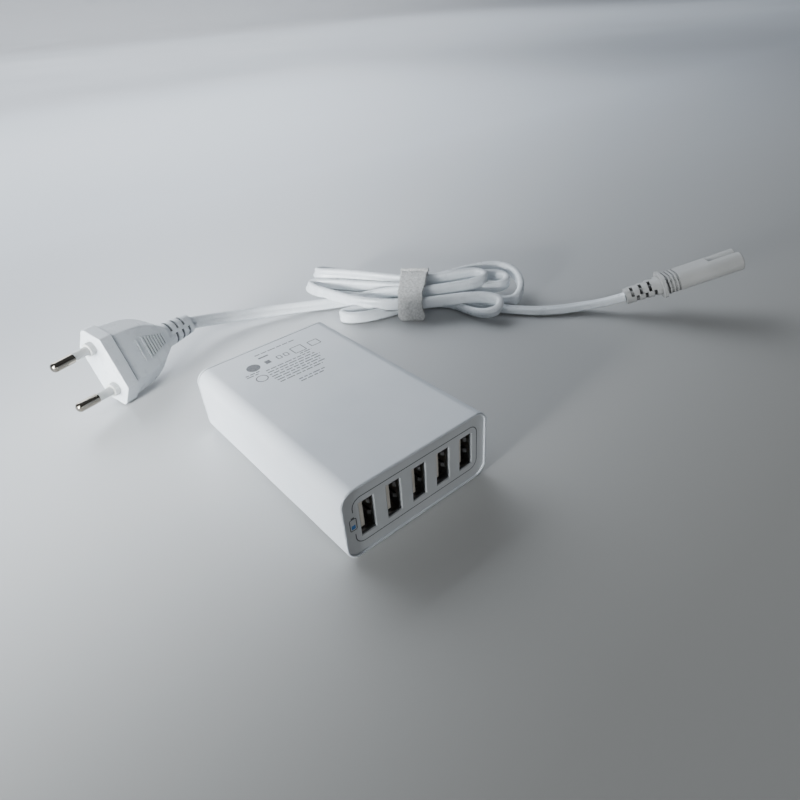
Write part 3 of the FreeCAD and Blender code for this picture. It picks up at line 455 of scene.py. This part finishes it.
def lean_at(leans, share):
    """The band's lean part of the way along, between the two route points it lies by."""
    place = share * (len(leans) - 2) + 0.5
    before = max(0, min(len(leans) - 2, math.floor(place)))
    part = max(0.0, min(1.0, place - before))
    return math.radians(leans[before] * (1 - part) + leans[before + 1] * part)


route = [Vector(point[:3]) * MM for point in PLUG_END]
route += [hank_point(*point[:3]) for point in HANK_TURNS]
route += [Vector(point[:3]) * MM for point in CONNECTOR_END]
leans = [point[3] for point in PLUG_END + HANK_TURNS + CONNECTOR_END]
line = cord_line(route)
section = cord_section()
cord_points = []
cord_faces = []
last_ring = len(line) - 1
for index, point in enumerate(line):
    ahead = (line[min(index + 1, last_ring)] - line[max(index - 1, 0)]).normalized()
    sideways = ahead.cross(UP).normalized()
    above = sideways.cross(ahead)
    lean = lean_at(leans, index / last_ring)
    across = math.cos(lean) * above + math.sin(lean) * sideways
    through = across.cross(ahead)
    cord_points += [point + wide * across + deep * through for wide, deep in section]
ring = len(section)
for index in range(last_ring):
    for corner in range(ring):
        after = (corner + 1) % ring
        near = index * ring
        far = near + ring
        cord_faces.append((near + corner, near + after, far + after, far + corner))
cord_faces.append(tuple(range(ring)))
cord_faces.append(tuple(last_ring * ring + corner for corner in reversed(range(ring))))
flex = piece("flex", cord_points, cord_faces, "lead_white")
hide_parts("cord_plug_end", "cord_hank", "cord_connector_end")


# Hook-and-loop tie
def smooth_outline(corners, count):
    """Points round a closed smooth line through the corners."""
    outline = []
    for index in range(count):
        place = index * len(corners) / count
        first = int(place)
        part = place - first
        a, b, c, d = (Vector(corners[(first + step) % len(corners)]) for step in (-1, 0, 1, 2))
        bend = 2 * a - 5 * b + 4 * c - d
        swing = 3 * (b - c) + d - a
        outline.append(b + 0.5 * part * ((c - a) + part * (bend + part * swing)))
    return outline


def tie_point(along, outline, index, depth):
    """A point of the strap at a depth under its outer face, roughened and kept off the table."""
    index %= len(outline)
    here = outline[index]
    ahead = outline[(index + 1) % len(outline)] - outline[index - 1]
    outward = Vector((ahead.y, -ahead.x)).normalized()
    rough = noise.noise((along * FUZZ_SCALE, here.x * FUZZ_SCALE, here.y * FUZZ_SCALE))
    wave = TIE_WAVE * noise.noise((here.x * WAVE_SCALE, here.y * WAVE_SCALE, along * WAVE_SCALE_ALONG))
    place = here + outward * (TIE_FUZZ * rough + wave - depth)
    height = max(place.y, TIE_LOWEST)
    return hank_point(along, place.x, height)


def tie_half(place):
    """Half the strap's width, flared above and below the waist and rounded off at the table."""
    flare = TIE_FLARE * ((place.y - TIE_WAIST) / TIE_WAIST) ** 2
    return TIE_HALF_LENGTH + flare - TIE_CURL * max(0.0, 1 - place.y / TIE_CURL_HEIGHT) ** 2


def tie_middle(place):
    """The strap's middle along the hank, which swings aside towards the table."""
    return TIE_CENTRE + TIE_SWING * max(0.0, 1 - place.y / TIE_WAIST)


outline = smooth_outline(TIE_OUTLINE, TIE_TURN_POINTS)
turn = len(outline)
tie_points = []
tie_faces = []
sides = 2 * TIE_ROWS
for index in range(turn):
    here = outline[index]
    wander = noise.noise((here.x * WANDER_SCALE, here.y * WANDER_SCALE, WANDER_SLICE))
    shift = tie_middle(here) + TIE_WANDER * wander
    half = tie_half(here)
    for row in range(sides):
        inside = row >= TIE_ROWS
        step = sides - 1 - row if inside else row
        along = half * (2 * step / (TIE_ROWS - 1) - 1)
        tie_points.append(tie_point(along + shift, outline, index, TIE_THICKNESS if inside else 0.0))
for index in range(turn):
    for row in range(sides):
        after = (row + 1) % sides
        near = index * sides
        far = ((index + 1) % turn) * sides
        tie_faces.append((near + row, far + row, far + after, near + after))

fluff = random.Random(FIBRE_SEED)
for _ in range(FIBRES):
    index = fluff.randrange(turn)
    along = tie_middle(outline[index]) + fluff.uniform(-1, 1) * tie_half(outline[index])
    base = tie_point(along, outline, index, FIBRE_ROOT)
    reach = fluff.uniform(*FIBRE_LENGTHS)
    swing = fluff.uniform(-1, 1) * reach
    middle_index = index + fluff.choice(FIBRE_MIDDLE_STEPS)
    middle = tie_point(along + FIBRE_MIDDLE * swing, outline, middle_index, -FIBRE_MIDDLE_RISE * reach)
    tip_index = index + fluff.choice(FIBRE_TIP_STEPS)
    tip = tie_point(along + swing, outline, tip_index, -FIBRE_TIP_RISE * reach)
    heading = Vector([fluff.uniform(-1, 1) for _ in range(3)]).normalized()
    width = heading * FIBRE_WIDTH * MM
    start = len(tie_points)
    tie_points += [base - width, base + width, middle + width, middle - width, tip]
    tie_faces += [(start, start + 1, start + 2, start + 3), (start + 3, start + 2, start + 4)]
tie = piece("tie", tie_points, tie_faces, "tie_fabric")
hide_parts("cord_tie")


# Print on the front panel and the top
def on_panel(x, z):
    return Vector((x, PANEL_Y - PRINT_RISE, z)) * MM


def on_top(x, y):
    return Vector((x, y, TOP_Z + PRINT_RISE)) * MM


class Print:
    """Flat marks gathered into one mesh."""

    def __init__(self, surface):
        self.surface = surface
        self.points = []
        self.faces = []

    def polygon(self, corners):
        start = len(self.points)
        self.points += [self.surface(*corner) for corner in corners]
        self.faces.append(tuple(range(start, len(self.points))))

    def bar(self, x0, x1, y, height):
        low = y - height / 2
        high = y + height / 2
        self.polygon(((x0, low), (x1, low), (x1, high), (x0, high)))

    def band(self, inner, outer, closed):
        last = len(inner) if closed else len(inner) - 1
        for index in range(last):
            after = (index + 1) % len(inner)
            self.polygon((inner[index], inner[after], outer[after], outer[index]))

    def frame(self, x, y, width, height, line_width, radius=0.0):
        inner_radius = max(radius - line_width, 0.0)
        inner = rounded_box(x, y, width - 2 * line_width, height - 2 * line_width, inner_radius)
        self.band(inner, rounded_box(x, y, width, height, radius), True)

    def make(self, name, material):
        return piece(name, self.points, self.faces, material, False)


def circle(x, y, radius):
    turns = [2 * math.pi * index / ROUND_STEPS for index in range(ROUND_STEPS)]
    return [(x + radius * math.cos(angle), y + radius * math.sin(angle)) for angle in turns]


def rounded_box(x, y, width, height, radius):
    """Corners from the middle of the left side, round by the bottom."""
    points = []
    steps = ROUND_STEPS // 4
    for side_x, side_y, start in ((-1, -1, 180), (1, -1, 270), (1, 1, 0), (-1, 1, 90)):
        centre_x = x + side_x * (width / 2 - radius)
        centre_y = y + side_y * (height / 2 - radius)
        for index in range(steps + 1):
            angle = math.radians(start + 90 * index / steps)
            points.append((centre_x + radius * math.cos(angle), centre_y + radius * math.sin(angle)))
    return points


# The parting line's dark strip, a little under the surface all round the block: painted shade
gap_width = BLOCK_SIZE[0] - 2 * GAP_DEPTH
gap_height = BLOCK_SIZE[1] - 2 * GAP_DEPTH
gap_ring = rounded_box(0.0, BLOCK_SIZE[1] / 2, gap_width, gap_height, BLOCK_RADIUS - GAP_DEPTH)
gap_points = [Vector((x, y, z)) * MM for y in GAP_Y for x, z in gap_ring]
turn = len(gap_ring)
gap_faces = [(index, (index + 1) % turn, turn + (index + 1) % turn, turn + index) for index in range(turn)]
piece("parting_line_painted_shade", gap_points, gap_faces, "gap_painted_shade", False)

panel_print = Print(on_panel)
half_line = LINE_WIDTH / 2
left = LINE_CENTRE[0] - LINE_SIZE[0] / 2
box_width, box_height = LINE_SIZE
inner = rounded_box(*LINE_CENTRE, box_width - LINE_WIDTH, box_height - LINE_WIDTH, LINE_RADIUS - half_line)
outer = rounded_box(*LINE_CENTRE, box_width + LINE_WIDTH, box_height + LINE_WIDTH, LINE_RADIUS + half_line)
inner = [(left + half_line, LINE_GAP[0])] + inner + [(left + half_line, LINE_GAP[1])]
outer = [(left - half_line, LINE_GAP[0])] + outer + [(left - half_line, LINE_GAP[1])]
panel_print.band(inner, outer, False)
panel_print.frame(BATTERY_X, BATTERY_Z, *BATTERY_SIZE, BATTERY_LINE, BATTERY_RADIUS)
cap_z = BATTERY_Z + BATTERY_SIZE[1] / 2 + BATTERY_CAP[1] / 2
panel_print.bar(BATTERY_X - BATTERY_CAP[0] / 2, BATTERY_X + BATTERY_CAP[0] / 2, cap_z, BATTERY_CAP[1])
panel_print.make("panel_line", "print_grey")
charge = Print(on_panel)
charge_half = BATTERY_SIZE[0] / 2 - 2 * BATTERY_LINE
charge_z = BATTERY_Z - BATTERY_SIZE[1] / 2 + 2 * BATTERY_LINE + BATTERY_BAR / 2
charge.bar(BATTERY_X - charge_half, BATTERY_X + charge_half, charge_z, BATTERY_BAR)
charge.make("panel_charge_mark", "print_blue")

top_print = Print(on_top)
dashes = random.Random(BAR_SEED)
for start, end, y in BAR_ROWS:
    x = start
    while x < end:
        stop = min(x + dashes.uniform(*BAR_LENGTHS), end)
        top_print.bar(x, stop, y, BAR_HEIGHT)
        x = stop + BAR_GAP
top_print.bar(*BOLD_BAR)
top_print.bar(*BLOCK_MARK)
for x, y, width, height in SQUARE_MARKS:
    top_print.frame(x, y, width, height, SQUARE_LINE, SQUARE_RADIUS)
top_print.polygon(circle(*DISC_MARK))
x, y, radius = RING_MARK
top_print.band(circle(x, y, radius - SQUARE_LINE), circle(x, y, radius), True)
top_print.make("top_marks", "print_grey")

# Names of the lead's plug and connector parts
ends = ["plug_body", "plug_pin_1", "plug_pin_2", "plug_sleeve_1", "plug_sleeve_2"]
ends += ["connector_body", "connector_contact_1", "connector_contact_2"]


# Table, light and camera
def floor_material():
    material, tree, bsdf = shader("table_top")
    place = tree.nodes.new("ShaderNodeTexCoord").outputs["Object"]
    parts = tree.nodes.new("ShaderNodeSeparateXYZ")
    tree.links.new(place, parts.inputs[0])
    # Painted light and shade: darker at the front, brighter towards the back
    painted_light_fade = remap(tree, parts.outputs["Y"], 0.0, 1.0, *FLOOR_PAINTED_LIGHT_FADE)
    tree.links.new(blend(tree, painted_light_fade, FLOOR_FRONT_PAINTED_SHADE, FLOOR_BACK_PAINTED_LIGHT), bsdf.inputs["Base Color"])
    gloss = remap(tree, add_noise(tree, place, FLOOR_PATCH), *FLOOR_ROUGHNESS)
    tree.links.new(gloss, bsdf.inputs["Roughness"])
    return material


def area_light(name, place, target, size, power, tint, spread):
    light = bpy.data.lights.new(name, "AREA")
    light.shape = "RECTANGLE"
    light.size, light.size_y = size
    light.energy = power
    light.color = tint
    light.spread = math.radians(spread)
    lamp = bpy.data.objects.new(name, light)
    lamp.location = place
    lamp.rotation_euler = (Vector(target) - Vector(place)).to_track_quat("-Z", "Y").to_euler()
    bpy.context.collection.objects.link(lamp)


floor_mesh = bpy.data.meshes.new("table_top")
spokes = [2 * math.pi * index / FLOOR_SPOKES for index in range(FLOOR_SPOKES)]
floor_points = []
for far, rise in FLOOR_RINGS:
    floor_points += [(far * math.cos(angle), far * math.sin(angle), rise) for angle in spokes]
floor_faces = [tuple(range(FLOOR_SPOKES))]
for start in range(0, len(floor_points) - FLOOR_SPOKES, FLOOR_SPOKES):
    for index in range(FLOOR_SPOKES):
        near = start + index
        after = start + (index + 1) % FLOOR_SPOKES
        floor_faces.append((near, near + FLOOR_SPOKES, after + FLOOR_SPOKES, after))
floor_mesh.from_pydata(floor_points, [], floor_faces)
floor_mesh.polygons.foreach_set("use_smooth", [True] * len(floor_faces))
floor_mesh.materials.append(floor_material())
floor = bpy.data.objects.new("table_top", floor_mesh)
bpy.context.collection.objects.link(floor)

for name, lamp in LAMPS.items():
    area_light(name, *lamp)
world = bpy.data.worlds.new("room")
bpy.context.scene.world = world
world.use_nodes = True
room = world.node_tree
sky = room.nodes["Background"]
sky.inputs["Color"].default_value = colour(ROOM_TINT)
glow = room.nodes.new("ShaderNodeMath")
outwards = room.nodes.new("ShaderNodeTexCoord").outputs["Generated"]
for socket, (heading, strength, spread) in zip(glow.inputs, (CEILING, BRIGHT_WALL)):
    facing = room.nodes.new("ShaderNodeVectorMath")
    facing.operation = "DOT_PRODUCT"
    facing.inputs[1].default_value = heading
    room.links.new(outwards, facing.inputs[0])
    ramp = remap(room, facing.outputs["Value"], *strength, *spread)
    ramp.node.interpolation_type = "SMOOTHSTEP"
    room.links.new(ramp, socket)
room.links.new(glow.outputs[0], sky.inputs["Strength"])

lens = bpy.data.cameras.new("camera")
lens.lens = CAMERA_LENS
lens.sensor_width = SENSOR_WIDTH
lens.clip_start = NEAREST_SEEN
camera = bpy.data.objects.new("camera", lens)
turned = Matrix((CAMERA_RIGHT, CAMERA_UP, CAMERA_BACK)).transposed().to_4x4()
camera.matrix_world = Matrix.Translation(CAMERA_PLACE) @ turned
bpy.context.collection.objects.link(camera)
bpy.context.scene.camera = camera
